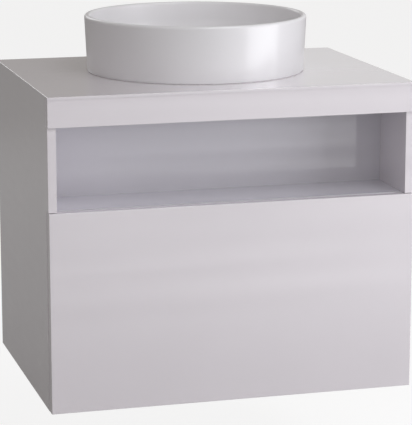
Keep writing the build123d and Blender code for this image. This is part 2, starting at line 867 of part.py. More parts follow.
def rosette():
    """Thin domed collar that covers the pipe's hole in the wall."""
    outer = rosette_radius
    shoulder = outer - rosette_depth / 2
    sheet = rosette_sheet
    return turned([
        (slip_bore, rosette_depth),
        (shoulder, rosette_depth),
        (outer, rosette_depth / 2),
        (outer, 0),
        (outer - sheet, 0),
        (outer - sheet, rosette_depth / 2 - sheet / 2),
        (shoulder - sheet / 2, rosette_depth - sheet),
        (slip_bore, rosette_depth - sheet),
    ])


trap = trap_body()
inlet_pipe = top_centre * (
    ring(pipe_radius, pipe_radius - pipe_wall, inlet_low, collar_top)
    + ring(collar_radius, pipe_radius - pipe_wall, collar_under, collar_top)
)
outlet_end = -basin_y + outlet_past_wall
outlet_pipe = to_outlet * ring(pipe_radius, pipe_radius - pipe_wall, arm_end - pipe_in_arm, outlet_end)
arm_nut_low = arm_end + slip_seal + slip_nut_lip - slip_nut_height
slip_nuts = [
    top_centre * slip_nut(slip_high - slip_nut_height),
    to_outlet * slip_nut(arm_nut_low),
]
trap_seals = [
    top_centre * ring(collar_radius, pipe_radius, collar_top, waste_bottom),
    top_centre * slip_ring(neck_top),
    to_outlet * slip_ring(arm_end),
    top_centre * ring(bottle_radius, bottle_bore, bottle_low - seal_ring, bottle_low),
]
wall_rosette = Pos(0, 0, outlet_z) * Rot(90, 0, 0) * rosette()


# ---------------------------------------------------------------- nodes

save("bottom_panel", bottom_panel)
save("niche_floor", niche_floor)
save("niche_back", niche_back)
save("niche_ceiling", niche_ceiling)
save("front_fascia", front_fascia)
save("worktop_board", worktop_board)
save("top_plate", top_plate)
save("rear_rail_upper", rear_rail_upper)
save("rear_rail_lower", rear_rail_lower)
save_pair("side_panel", side_panel())
save("carcass_dowels", dowels)
save("cam_discs", cam_discs)
save("cam_bolts", cam_bolts)

save_pair("wall_plate", wall_plate())
save_pair("hanger_hook", hanger_hook())
save_pair("hanger_housing", housing)

save_pair("runner_outer", runner_outer)
save_pair("runner_middle", runner_middle)
save_pair("runner_inner", runner_inner)
save_pair("outer_ball_cage", outer_cage)
save_pair("inner_ball_cage", inner_cage)
save("cabinet_screws", both(hanger_screws + cabinet_runner_screws + latch_screws))
save("drawer_runner_screws", both(drawer_runner_screws))

save("drawer_front", drawer_front)
save_pair("drawer_side", drawer_side)
save("drawer_box_front", drawer_box_front)
save("drawer_back", drawer_back)
save("drawer_base", drawer_base)
save("drawer_front_screws", front_screws)

save_pair("push_latch_housing", latch)
save_pair("push_latch_plunger", latch_plunger())

save("basin", basin)
save("basin_seal", basin_seal)
save("waste_body", waste)
save("waste_gasket", flange_gasket)
save("waste_cartridge", cartridge)
save("waste_plug", plug)
save("waste_plug_stem", plug_stem)
save("waste_washer", waste_washer)
save("waste_locknut", locknut)

save("trap_inlet_pipe", inlet_pipe)
save("trap_union_nut", top_centre * union_nut())
save("trap_body", trap)
save("trap_cup", top_centre * trap_cup())
save("trap_slip_nuts", slip_nuts)
save("trap_seals", trap_seals)
save("trap_outlet_pipe", outlet_pipe)
save("wall_rosette", wall_rosette)
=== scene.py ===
"""Finishes, turned ware, light and camera for the wall-hung washstand with a vessel basin."""

import json
import math

import bmesh
import bpy
import numpy as np
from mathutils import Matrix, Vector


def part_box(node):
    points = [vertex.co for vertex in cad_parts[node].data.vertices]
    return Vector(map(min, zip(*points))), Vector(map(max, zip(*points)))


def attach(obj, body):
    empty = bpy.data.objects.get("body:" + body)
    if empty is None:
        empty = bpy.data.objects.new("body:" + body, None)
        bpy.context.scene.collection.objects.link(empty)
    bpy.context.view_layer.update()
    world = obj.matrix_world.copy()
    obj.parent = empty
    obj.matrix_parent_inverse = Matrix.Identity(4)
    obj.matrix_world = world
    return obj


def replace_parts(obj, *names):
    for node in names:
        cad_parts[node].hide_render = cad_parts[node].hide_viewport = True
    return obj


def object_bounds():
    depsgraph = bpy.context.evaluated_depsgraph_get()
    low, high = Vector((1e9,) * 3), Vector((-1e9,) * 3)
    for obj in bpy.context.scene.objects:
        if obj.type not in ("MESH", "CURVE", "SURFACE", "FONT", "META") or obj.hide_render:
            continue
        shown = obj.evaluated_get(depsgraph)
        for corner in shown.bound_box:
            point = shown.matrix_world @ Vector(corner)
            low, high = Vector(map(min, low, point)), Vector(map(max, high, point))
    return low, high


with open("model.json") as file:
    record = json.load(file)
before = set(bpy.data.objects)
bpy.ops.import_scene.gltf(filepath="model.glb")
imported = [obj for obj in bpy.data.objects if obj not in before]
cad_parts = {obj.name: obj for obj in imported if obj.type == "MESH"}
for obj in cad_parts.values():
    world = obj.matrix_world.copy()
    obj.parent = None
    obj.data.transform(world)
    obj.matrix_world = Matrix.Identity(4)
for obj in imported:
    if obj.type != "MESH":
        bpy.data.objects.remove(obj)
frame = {"nodes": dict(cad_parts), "record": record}
cad_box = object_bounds()
nodes = frame["nodes"]

MM = 0.001


# ---------------------------------------------------------------- node trees

# a Mix node has one set of sockets for each kind of data: these are its colours
MIX_COLOR_A, MIX_COLOR_B, MIX_COLOR_OUT = 6, 7, 2


class Graph:
    """Adds nodes to one tree; an input is a plain value or the socket that feeds it."""

    def __init__(self, tree):
        self.tree = tree

    def node(self, kind, inputs=(), **settings):
        made = self.tree.nodes.new(kind)
        for key, value in settings.items():
            setattr(made, key, value)
        for key, value in dict(inputs).items():
            if isinstance(value, bpy.types.NodeSocket):
                self.tree.links.new(value, made.inputs[key])
            else:
                made.inputs[key].default_value = value
        return made

    def math(self, operation, a, b, clamp=False):
        return self.node("ShaderNodeMath", {0: a, 1: b}, operation=operation, use_clamp=clamp).outputs[0]

    def noise(self, vector, scale, detail, roughness=0.5):
        values = {"Vector": vector, "Scale": scale, "Detail": detail, "Roughness": roughness}
        return self.node("ShaderNodeTexNoise", values).outputs["Fac"]

    def stretch(self, vector, scale):
        return self.node("ShaderNodeMapping", {"Vector": vector, "Scale": scale}).outputs[0]

    def span(self, value, low, high, to_low=0.0, to_high=1.0):
        values = {"Value": value, "From Min": low, "From Max": high, "To Min": to_low, "To Max": to_high}
        return self.node("ShaderNodeMapRange", values).outputs["Result"]

    def blend(self, factor, a, b):
        values = {"Factor": factor, MIX_COLOR_A: a, MIX_COLOR_B: b}
        return self.node("ShaderNodeMix", values, data_type="RGBA").outputs[MIX_COLOR_OUT]


def effect(name, inputs, outputs, wire):
    """A shader node group; wire(graph, inputs) returns a socket for each output."""
    tree = bpy.data.node_groups.new(name, "ShaderNodeTree")
    for label, (kind, default) in inputs.items():
        socket = tree.interface.new_socket(label, in_out="INPUT", socket_type=kind)
        if default is not None:
            socket.default_value = default
    for label, kind in outputs.items():
        tree.interface.new_socket(label, in_out="OUTPUT", socket_type=kind)
    graph = Graph(tree)
    source = graph.node("NodeGroupInput")
    sink = graph.node("NodeGroupOutput")
    for label, socket in wire(graph, source.outputs).items():
        tree.links.new(socket, sink.inputs[label])
    return tree


FLOAT = "NodeSocketFloat"
VECTOR = "NodeSocketVector"
COLOR = "NodeSocketColor"


def wire_sprayed(graph, given):
    """Orange peel of a sprayed coat: a fine dimple pattern on a long, slow swell."""
    fine = graph.noise(given["Vector"], given["Dimples"], 1.0)
    slow = graph.noise(given["Vector"], given["Swell"], 0.0)
    dimples = graph.math("MULTIPLY", fine, given["Dimple Depth"])
    swell = graph.math("MULTIPLY", slow, given["Swell Depth"])
    return {"Height": graph.math("ADD", dimples, swell)}


def wire_handled(graph, given):
    """Roughness of a handled surface: faint wipe marks, and small patches of film."""
    wiped = graph.noise(graph.stretch(given["Vector"], (1.0, 1.0, 7.0)), given["Scale"], 4.0, 0.6)
    film = graph.noise(given["Vector"], given["Scale"], 2.0)
    both = graph.math("MULTIPLY", wiped, film)
    return {"Roughness": graph.span(both, 0.12, 0.42, given["Clean"], given["Marked"])}


def wire_tone(graph, given):
    """Colour that drifts slowly between two near tones."""
    drift = graph.span(graph.noise(given["Vector"], given["Scale"], 3.0), 0.3, 0.7)
    return {"Color": graph.blend(drift, given["Tone A"], given["Tone B"])}


FLAKES_PER_METRE = 420.0
DARK_FLAKE = (0.46, 0.31, 0.17, 1.0)
PALE_FLAKE = (0.72, 0.56, 0.36, 1.0)
FLAKE_GAP = (0.22, 0.13, 0.07, 1.0)


def wire_chips(graph, given):
    """Pressed chipboard: flat flakes of several browns, darker in the gaps between them."""
    flat = graph.stretch(given["Vector"], (1.0, 1.0, 2.2))
    flakes = {"Vector": flat, "Scale": FLAKES_PER_METRE}
    cells = graph.node("ShaderNodeTexVoronoi", flakes)
    edge = graph.node("ShaderNodeTexVoronoi", flakes, feature="DISTANCE_TO_EDGE")
    tint = graph.node("ShaderNodeSeparateColor", {"Color": cells.outputs["Color"]}).outputs[0]
    flake = graph.blend(tint, DARK_FLAKE, PALE_FLAKE)
    gap = graph.span(edge.outputs["Distance"], 0.0, 0.12)
    return {"Color": graph.blend(gap, FLAKE_GAP, flake), "Height": gap}


def wire_pebble(graph, given):
    """Pebbled print of a melamine or moulded face."""
    cells = graph.node(
        "ShaderNodeTexVoronoi", {"Vector": given["Vector"], "Scale": given["Scale"]}, feature="SMOOTH_F1"
    )
    fine = graph.noise(given["Vector"], given["Scale"], 3.0)
    return {"Height": graph.math("ADD", cells.outputs["Distance"], fine)}


def wire_brushed(graph, given):
    """Drawn metal: long scratches along Y over a mottled plating."""
    lines = graph.noise(graph.stretch(given["Vector"], (900.0, 12.0, 900.0)), 1.0, 4.0, 0.7)
    mottle = graph.noise(given["Vector"], 160.0, 3.0)
    rough = graph.span(graph.math("ADD", lines, mottle), 0.7, 1.3, given["Smooth"], given["Rough"])
    return {"Roughness": rough, "Height": lines}


def wire_worn(graph, given):
    """Mask of convex edges rubbed by hands and tools, broken up by noise."""
    rim = graph.span(graph.node("ShaderNodeNewGeometry").outputs["Pointiness"], 0.52, 0.58)
    broken = graph.span(graph.noise(given["Vector"], given["Scale"], 4.0), 0.4, 0.6)
    return {"Mask": graph.math("MULTIPLY", rim, broken, clamp=True)}


POINT = {"Vector": (VECTOR, None)}
PALE_GREY = (0.8, 0.8, 0.8, 1.0)
SPRAYED = effect(
    "sprayed_coat",
    {**POINT, "Dimples": (FLOAT, 260.0), "Dimple Depth": (FLOAT, 0.3), "Swell": (FLOAT, 9.0),
     "Swell Depth": (FLOAT, 1.0)},
    {"Height": FLOAT},
    wire_sprayed,
)
HANDLED = effect(
    "handled_gloss",
    {**POINT, "Scale": (FLOAT, 9.0), "Clean": (FLOAT, 0.05), "Marked": (FLOAT, 0.12)},
    {"Roughness": FLOAT},
    wire_handled,
)
TONE = effect(
    "tone_drift",
    {**POINT, "Scale": (FLOAT, 5.0), "Tone A": (COLOR, PALE_GREY), "Tone B": (COLOR, PALE_GREY)},
    {"Color": COLOR},
    wire_tone,
)
CHIPS = effect("chipboard_core", POINT, {"Color": COLOR, "Height": FLOAT}, wire_chips)
PEBBLE = effect("pebbled_print", {**POINT, "Scale": (FLOAT, 900.0)}, {"Height": FLOAT}, wire_pebble)
BRUSHED = effect(
    "drawn_metal",
    {**POINT, "Smooth": (FLOAT, 0.2), "Rough": (FLOAT, 0.4)},
    {"Roughness": FLOAT, "Height": FLOAT},
    wire_brushed,
)
WORN = effect("worn_edges", {**POINT, "Scale": (FLOAT, 200.0)}, {"Mask": FLOAT}, wire_worn)


class Finish:
    """One material: a Principled shader, and the effects placed round it."""

    def __init__(self, name, **shader_values):
        self.material = bpy.data.materials.new(name)
        self.material.use_nodes = True
        self.graph = Graph(self.material.node_tree)
        self.shader = self.material.node_tree.nodes["Principled BSDF"]
        for label, value in shader_values.items():
            self.shader.inputs[label.replace("_", " ")].default_value = value
        self.point = self.graph.node("ShaderNodeTexCoord").outputs["Object"]

    def use(self, tree, **values):
        """Places an effect on this material's Object coordinates and gives its outputs."""
        inputs = {"Vector": self.point, **{k.replace("_", " "): v for k, v in values.items()}}
        return self.graph.node("ShaderNodeGroup", inputs, node_tree=tree).outputs

    def feed(self, label, socket):
        self.graph.tree.links.new(socket, self.shader.inputs[label])

    def bump(self, height, depth):
        """depth is the height of a full step, in metres."""
        values = {"Height": height, "Distance": depth}
        self.feed("Normal", self.graph.node("ShaderNodeBump", values).outputs["Normal"])


def two_tones(color, spread):
    """A colour darker and lighter by the share spread, as RGBA."""
    dark = tuple(c * (1.0 - spread) for c in color) + (1.0,)
    light = tuple(min(1.0, c * (1.0 + spread)) for c in color) + (1.0,)
    return {"Tone A": dark, "Tone B": light}


# ---------------------------------------------------------------- finishes

WHITE = (0.812, 0.770, 0.810)
# the same white lacquer made darker and bluer for the niche: painted shade and painted cool light in the
# recess, not a different paint
NICHE_PAINTED_SHADE_WHITE = (0.705, 0.690, 0.742)
GLAZE_WHITE = (0.83, 0.82, 0.84)
MELAMINE_WHITE = (0.76, 0.74, 0.745)
DARK_PORE = (0.50, 0.31, 0.17, 1.0)
PALE_WOOD = (0.68, 0.47, 0.29, 1.0)
CORE_ROUGHNESS = 0.85


def at_wall(finish):
    """Mask of the faces that look at the wall, where a board's core is bare."""
    graph = finish.graph
    normal = graph.node("ShaderNodeNewGeometry").outputs["Normal"]
    facing = graph.node("ShaderNodeSeparateXYZ", {"Vector": normal}).outputs["Y"]
    return graph.math("GREATER_THAN", facing, 0.9)


def lacquered_board(name, color, clean, marked, bare_back=False):
    """High-gloss sprayed board, with its core showing at the back edge where bare_back is set."""
    made = Finish(name, Coat_Weight=1.0, Coat_Roughness=0.03, Coat_IOR=1.5, IOR=1.5)
    tone = made.use(TONE, Scale=4.0, **two_tones(color, spread=0.012))["Color"]
    rough = made.use(HANDLED, Scale=8.0, Clean=clean, Marked=marked)["Roughness"]
    height = made.use(SPRAYED, Dimples=240.0, Dimple_Depth=0.25, Swell=7.0, Swell_Depth=1.0)["Height"]
    if bare_back:
        bare = at_wall(made)
        tone = made.graph.blend(bare, tone, made.use(CHIPS)["Color"])
        rough = made.graph.span(bare, 0.0, 1.0, rough, CORE_ROUGHNESS)
    made.feed("Base Color", tone)
    made.feed("Roughness", rough)
    made.bump(height, 0.05 * MM)
    return made.material


def glazed_ceramic():
    """Vitreous glaze: even white, a slow swell in its thickness, and a soft clear surface."""
    made = Finish("glazed_ceramic", Coat_Weight=0.35, Coat_Roughness=0.08, IOR=1.5)
    tone = made.use(TONE, Scale=6.0, **two_tones(GLAZE_WHITE, spread=0.01))["Color"]
    rough = made.use(HANDLED, Scale=5.0, Clean=0.28, Marked=0.34)["Roughness"]
    height = made.use(SPRAYED, Dimples=160.0, Dimple_Depth=0.06, Swell=14.0, Swell_Depth=1.0)["Height"]
    made.feed("Base Color", tone)
    made.feed("Roughness", rough)
    made.bump(height, 0.12 * MM)
    return made.material


def melamine_board(name, bare_back=False):
    """Satin printed board with a pebbled face, and its chip core showing at a cut rear edge."""
    made = Finish(name, IOR=1.5)
    tone = made.use(TONE, Scale=6.0, **two_tones(MELAMINE_WHITE, spread=0.015))["Color"]
    if bare_back:
        tone = made.graph.blend(at_wall(made), tone, made.use(CHIPS)["Color"])
    made.feed("Base Color", tone)
    made.feed("Roughness", made.use(HANDLED, Scale=10.0, Clean=0.32, Marked=0.45)["Roughness"])
    made.bump(made.use(PEBBLE, Scale=900.0)["Height"], 0.03 * MM)
    return made.material


def moulded_plastic(name, color, smooth, rough, grain):
    """Moulded plastic with a faint spark texture and paler rubbed edges."""
    made = Finish(name, IOR=1.46)
    tone = made.use(TONE, Scale=18.0, **two_tones(color, spread=0.02))["Color"]
    mask = made.use(WORN, Scale=260.0)["Mask"]
    paler = tuple(min(1.0, c * 1.12) for c in color) + (1.0,)
    made.feed("Base Color", made.graph.blend(mask, tone, paler))
    made.feed("Roughness", made.use(HANDLED, Scale=24.0, Clean=smooth, Marked=rough)["Roughness"])
    made.bump(made.use(PEBBLE, Scale=1400.0)["Height"], grain)
    return made.material


def metal(name, color, smooth, rough, depth, worn):
    """Plated, cast or turned metal: drawn lines, a mottled sheen and edges rubbed through to worn."""
    made = Finish(name, Metallic=1.0)
    tone = made.use(TONE, Scale=30.0, **two_tones(color, spread=0.05))["Color"]
    mask = made.use(WORN, Scale=300.0)["Mask"]
    made.feed("Base Color", made.graph.blend(mask, tone, worn + (1.0,)))
    lines = made.use(BRUSHED, Smooth=smooth, Rough=rough)
    made.feed("Roughness", lines["Roughness"])
    made.bump(lines["Height"], depth)
    return made.material


def rubber(name, dark, bloomed):
    """Moulded rubber or silicone with a dusty bloom."""
    made = Finish(name, IOR=1.45)
    bloom = made.use(TONE, Scale=120.0, **{"Tone A": dark + (1.0,), "Tone B": bloomed + (1.0,)})
    made.feed("Base Color", bloom["Color"])
    made.feed("Roughness", made.use(HANDLED, Scale=60.0, Clean=0.55, Marked=0.8)["Roughness"])
    made.bump(made.use(PEBBLE, Scale=1600.0)["Height"], 0.05 * MM)
    return made.material


def beech():
    """Beech with fine lengthwise pores."""
    made = Finish("beech", IOR=1.5)
    graph = made.graph
    pores = graph.noise(graph.stretch(made.point, (60.0, 900.0, 900.0)), 1.0, 4.0, 0.6)
    color = graph.blend(graph.span(pores, 0.35, 0.65), DARK_PORE, PALE_WOOD)
    made.feed("Base Color", color)
    made.feed("Roughness", graph.span(pores, 0.3, 0.7, 0.5, 0.7))
    made.bump(pores, 0.08 * MM)
    return made.material


# colour, roughness from smooth to rough, depth of the drawn lines, and the colour of rubbed edges
METALS = {
    "zinc": dict(
        color=(0.60, 0.61, 0.63), smooth=0.38, rough=0.55, depth=0.02 * MM, worn=(0.72, 0.73, 0.75)
    ),
    "zinc_plated_steel": dict(
        color=(0.66, 0.67, 0.69), smooth=0.22, rough=0.38, depth=0.01 * MM, worn=(0.5, 0.5, 0.5)
    ),
    "chrome": dict(
        color=(0.86, 0.87, 0.88), smooth=0.04, rough=0.09, depth=0.001 * MM, worn=(0.92, 0.92, 0.92)
    ),
    "brass": dict(
        color=(0.80, 0.62, 0.30), smooth=0.22, rough=0.36, depth=0.008 * MM, worn=(0.88, 0.74, 0.42)
    ),
}
PLASTICS = {
    "grey_plastic": dict(color=(0.34, 0.35, 0.36), smooth=0.35, rough=0.5, grain=0.03 * MM),
    "white_plastic": dict(color=(0.78, 0.78, 0.77), smooth=0.22, rough=0.34, grain=0.015 * MM),
}
RUBBERS = {
    "rubber": dict(dark=(0.025, 0.025, 0.026), bloomed=(0.06, 0.06, 0.058)),
    "white_silicone": dict(dark=(0.80, 0.79, 0.79), bloomed=(0.86, 0.85, 0.85)),
}
BOARD_GLOSS = dict(clean=0.10, marked=0.18)
PLATE_GLOSS = dict(clean=0.03, marked=0.07)
NICHE_GLOSS = dict(clean=0.14, marked=0.22)

FINISHES = {
    "gloss_lacquer": lacquered_board("gloss_lacquer", WHITE, **BOARD_GLOSS),
    "gloss_plate": lacquered_board("gloss_plate", WHITE, **PLATE_GLOSS),
    "melamine_board": melamine_board("melamine_board"),
    "glazed_ceramic": glazed_ceramic(),
    "beech": beech(),
    **{name: metal(name, **look) for name, look in METALS.items()},
    **{name: moulded_plastic(name, **look) for name, look in PLASTICS.items()},
    **{name: rubber(name, **look) for name, look in RUBBERS.items()},
}
CUT_LACQUER = lacquered_board("gloss_lacquer_cut", WHITE, **BOARD_GLOSS, bare_back=True)
CUT_MELAMINE = melamine_board("melamine_cut", bare_back=True)
NICHE_PAINTED_SHADE_LACQUER = lacquered_board("gloss_lacquer_niche_painted_shade", NICHE_PAINTED_SHADE_WHITE, **NICHE_GLOSS)

# boards whose sawn rear edge is left bare, and boards that line the niche, which take a darker, bluer copy
# of the white lacquer as painted shade
CUT_MELAMINE_BOARDS = (
    "bottom_panel", "worktop_board", "drawer_base", "drawer_side_right", "drawer_side_left",
)
NODE_FINISHES = {
    **dict.fromkeys(("side_panel_right", "side_panel_left"), CUT_LACQUER),
    **dict.fromkeys(CUT_MELAMINE_BOARDS, CUT_MELAMINE),
    **dict.fromkeys(("niche_floor", "niche_back", "niche_ceiling"), NICHE_PAINTED_SHADE_LACQUER),
}

for part in frame["record"]["subparts"]:
    node = part["node"]
    nodes[node].data.materials.clear()
    nodes[node].data.materials.append(NODE_FINISHES.get(node, FINISHES[part["material_slot"]]))


# ---------------------------------------------------------------- turned ware

def rounded_outline(corners, step):
    """A closed outline from (radius, height, fillet) corners, sampled about every step.
    Each fillet is the arc tangent to both of its corner's sides."""
    count = len(corners)
    points = np.array([c[:2] for c in corners], float)
    runs = []
    for i in range(count):
        here = points[i]
        before = points[i - 1] - here
        after = points[(i + 1) % count] - here
        before /= np.linalg.norm(before)
        after /= np.linalg.norm(after)
        radius = corners[i][2]
        if radius == 0:
            runs.append(here[None])
            continue
        half_angle = math.acos(float(np.clip(before @ after, -1, 1))) / 2
        reach = radius / math.tan(half_angle)
        centre = here + (before + after) / np.linalg.norm(before + after) * radius / math.sin(half_angle)
        start = here + before * reach - centre
        end = here + after * reach - centre
        first = math.atan2(start[1], start[0])
        turn = (math.atan2(end[1], end[0]) - first + math.pi) % (2 * math.pi) - math.pi
        angles = first + turn * np.linspace(0, 1, max(6, int(abs(turn) * radius / step) + 2))
        runs.append(centre + radius * np.stack([np.cos(angles), np.sin(angles)], 1))
    dense = []
    for i, run in enumerate(runs):
        gap = runs[(i + 1) % count][0] - run[-1]
        steps = max(1, int(np.linalg.norm(gap) / step))
        share = np.arange(1, steps)[:, None] / steps
        dense += [run, run[-1] + gap * share]
    return np.concatenate(dense)


def upright(centre):
    """Place for a turned piece whose axis is vertical: (x, y) of the axis, and heights as they are."""
    return lambda radius, angle, along: (
        centre.x + radius * np.cos(angle), centre.y + radius * np.sin(angle), along + 0 * angle
    )


def towards_wall(x, z):
    """Place for a turned piece whose axis points at the wall: distances along it are y."""
    return lambda radius, angle, along: (
        x + radius * np.cos(angle), along + 0 * angle, z + radius * np.sin(angle)
    )


def turned(corners, place, step=2.5 * MM, segments=240, swell=None):
    """Point (i, j) is outline point i turned by 2 pi j / segments about the axis of place. swell is a
    function of radius, angle and place along the axis that gives the radius its lobes or ribs."""
    outline = rounded_outline(corners, step)
    angle = np.linspace(0, 2 * np.pi, segments, endpoint=False)[None]
    radius, along = outline[:, :1], outline[:, 1:]
    bulged = swell(radius, angle, along) if swell else radius + 0 * angle
    return np.stack(place(bulged, angle, along + 0 * angle), -1)


def mirrored(grid):
    """The same points with the turn reversed, so that the faces of a grid point the other way."""
    return grid[:, ::-1]


def volume(mesh):
    """Signed volume: each quad is two triangles, summed as tetrahedra on the origin."""
    co = np.empty(len(mesh.vertices) * 3)
    mesh.vertices.foreach_get("co", co)
    co = co.reshape(-1, 3)
    faces = np.empty(len(mesh.loops), int)
    mesh.loops.foreach_get("vertex_index", faces)
    a, b, c, d = (co[faces.reshape(-1, 4)[:, k]] for k in range(4))
    return np.einsum("ij,ij->", a, np.cross(b, c) + np.cross(c, d)) / 6


WELD = 1e-7
SLIVER = 1e-8
SHARP_EDGE = math.radians(40)


def grid_piece(name, grids, body, slot):
    """One smooth closed mesh from grids of points that wrap round in both directions. Where an
    outline reaches the axis its ring of equal points is merged into a pole."""
    points, quads, count = [], [], 0
    for xyz in grids:
        rows, columns = xyz.shape[:2]
        index = count + np.arange(rows * columns).reshape(rows, columns)
        right = np.roll(index, -1, 1)
        around = [index, right, np.roll(right, -1, 0), np.roll(index, -1, 0)]
        quads.append(np.stack(around, -1).reshape(-1, 4))
        points.append(xyz.reshape(-1, 3))
        count += rows * columns
    mesh = bpy.data.meshes.new(name)
    mesh.from_pydata(np.concatenate(points), [], np.concatenate(quads))
    if volume(mesh) < 0:
        mesh.flip_normals()
    welded = bmesh.new()
    welded.from_mesh(mesh)
    bmesh.ops.remove_doubles(welded, verts=welded.verts, dist=WELD)
    bmesh.ops.dissolve_degenerate(welded, edges=welded.edges, dist=SLIVER)
    welded.to_mesh(mesh)
    welded.free()
    mesh.shade_smooth()
    mesh.set_sharp_from_angle(angle=SHARP_EDGE)
    piece = bpy.data.objects.new(name, mesh)
    bpy.context.scene.collection.objects.link(piece)
    mesh.materials.append(FINISHES[slot])
    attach(piece, body)
    return piece


# ---------------------------------------------------------------- basin, waste and trap

RIM = 215.0 * MM             # basin, outer radius
TAPER = 5.0 * MM             # the wall leans out by this from foot to rim
LIP = 10.5 * MM
WASTE_HOLE = 23.0 * MM
FLANGE_SEAT = 33.0 * MM      # recess round the hole, for the waste's flange
PIPE_BORE = 16.2 * MM
NECK_BORE = 20.1 * MM
THREAD = 21.0 * MM
THREAD_BORE = 21.1 * MM
SLIP_NUT = 25.0 * MM         # outer radius
SLIP_NUT_LENGTH = 20.0 * MM
CUP_BORE = 27.5 * MM
RIB_FADE = 2.0 * MM          # ribs end in this length
RIB_REACH = 1.2 * MM         # ribs touch only this skin of the outer wall


def middle_of(node):
    """Middle of a node's box."""
    low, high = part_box(node)
    return (low + high) / 2


def vessel_basin():
    """Thin-lipped round bowl on a flat foot: walls lean out by the taper, the floor falls to the waste.
    Its glaze swells by a fraction of a millimetre in three lobes."""
    low, top = (corner.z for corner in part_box("basin"))
    foot = RIM - TAPER
    inside = RIM - LIP
    hollow = low + 6 * MM        # underside between the hub and the foot ring
    seat = low + 11.5 * MM
    bowl_floor = low + 14 * MM   # where it meets the seat
    corners = [
        (WASTE_HOLE, low, 0.8 * MM),
        (60 * MM, low, 1 * MM),
        (66 * MM, hollow, 1 * MM),
        (foot - 28 * MM, hollow, 1 * MM),
        (foot - 22 * MM, low, 1 * MM),
        (foot, low, 1.5 * MM),
        (RIM, top, 4.9 * MM),
        (inside, top, 4.9 * MM),
        (inside - 4 * MM, low + 20 * MM, 58 * MM),
        (FLANGE_SEAT, bowl_floor, 1.2 * MM),
        (FLANGE_SEAT, seat, 0.6 * MM),
        (WASTE_HOLE, seat, 0.8 * MM),
    ]

    def glaze(radius, angle, along):
        return radius * (1 + 0.0004 * np.sin(3 * angle + 0.7))

    grid = turned(corners, upright(middle_of("basin")), swell=glaze)
    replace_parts(grid_piece("vessel_basin", [grid], "cabinet", "glazed_ceramic"), "basin")


def plug_cap():
    """Cap of the push-open waste: a flat rim under a shallow dome, radius falling as the dome's arc."""
    low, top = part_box("waste_plug")
    rim = (top.x - low.x) / 2
    rise = 1.8 * MM
    ball = (rim ** 2 + rise ** 2) / (2 * rise)
    edge = 0.4 * MM
    across = np.linspace(rim - edge, 0, 24)
    dome = [(r, top.z - ball + math.sqrt(ball ** 2 - r ** 2), 0) for r in across]
    corners = [(0, low.z, 0), (rim, low.z, 0.3 * MM), (rim, top.z - rise, 0.2 * MM)] + dome
    grid = turned(corners, upright(middle_of("waste_plug")), step=1.5 * MM, segments=128)
    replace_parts(grid_piece("waste_cap", [grid], "plug", "chrome"), "waste_plug")


def ribbed(outer, depth, count, low, high):
    """Grip ribs on the outer wall between two heights: the radius dips by depth, count times round,
    following a raised cosine squared, and the ribs fade out towards each end."""
    def swell(radius, angle, along):
        on_wall = np.clip((radius - outer + RIB_REACH) / MM, 0, 1)
        ends = np.clip(np.minimum(along - low, high - along) / RIB_FADE, 0, 1)
        return radius - depth * on_wall * ends * (0.5 - 0.5 * np.cos(count * angle)) ** 2
    return swell


def union_nut():
    """Grip nut under the waste: narrow bore through its lip, thread bore above."""
    low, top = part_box("trap_union_nut")
    outer = (top.x - low.x) / 2
    lip = low.z + 8 * MM
    corners = [
        (PIPE_BORE, low.z, 0.6 * MM),
        (outer, low.z, 1.6 * MM),
        (outer, top.z, 1 * MM),
        (THREAD_BORE, top.z, 0.5 * MM),
        (THREAD_BORE, lip, 0.4 * MM),
        (PIPE_BORE, lip, 0.4 * MM),
    ]
    swell = ribbed(outer, 1.6 * MM, 24, low.z, top.z)
    grid = turned(corners, upright(middle_of("trap_union_nut")), step=0.8 * MM, segments=288, swell=swell)
    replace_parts(grid_piece("union_grip_nut", [grid], "cabinet", "white_plastic"), "trap_union_nut")


def slip_nut(open_end, closed_end, place):
    """A slip nut between its open, threaded end and the lip at its closed end."""
    lip = closed_end - 6 * MM
    corners = [
        (NECK_BORE, open_end, 0.5 * MM),
        (SLIP_NUT, open_end, 1 * MM),
        (SLIP_NUT, closed_end, 1.6 * MM),
        (PIPE_BORE, closed_end, 0.6 * MM),
        (PIPE_BORE, lip, 0.4 * MM),
        (NECK_BORE, lip, 0.4 * MM),
    ]
    swell = ribbed(SLIP_NUT, 1.5 * MM, 22, open_end, closed_end)
    return turned(corners, place, step=0.8 * MM, segments=264, swell=swell)


def slip_nuts():
    """The two grip nuts of the trap: one round the inlet pipe, one round the outlet pipe."""
    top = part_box("trap_slip_nuts")[1]
    outlet = middle_of("trap_outlet_pipe")
    upper = slip_nut(top.z - SLIP_NUT_LENGTH, top.z, upright(middle_of("trap_inlet_pipe")))
    side = slip_nut(top.y - SLIP_NUT_LENGTH, top.y, towards_wall(outlet.x, outlet.z))
    piece = grid_piece("slip_grip_nuts", [upper, mirrored(side)], "cabinet", "white_plastic")
    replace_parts(piece, "trap_slip_nuts")


def trap_cup():
    """Cleaning cup of the trap: round foot, straight ribbed wall, open top with a seat for the bottle."""
    low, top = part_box("trap_cup")
    outer = (top.x - low.x) / 2
    mouth = outer - 3.4 * MM
    seat = top.z - 16 * MM
    cup_floor = low.z + 3.5 * MM
    corners = [
        (0, low.z, 0),
        (outer, low.z, 8 * MM),
        (outer, top.z, 0.9 * MM),
        (mouth, top.z, 0.6 * MM),
        (mouth, seat, 0.4 * MM),
        (CUP_BORE, seat, 0.4 * MM),
        (CUP_BORE, cup_floor, 4 * MM),
        (0, cup_floor, 0),
    ]
    swell = ribbed(outer, 1.5 * MM, 28, low.z + 9 * MM, top.z)
    grid = turned(corners, upright(middle_of("trap_cup")), step=0.9 * MM, segments=336, swell=swell)
    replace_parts(grid_piece("cleaning_cup", [grid], "cabinet", "white_plastic"), "trap_cup")


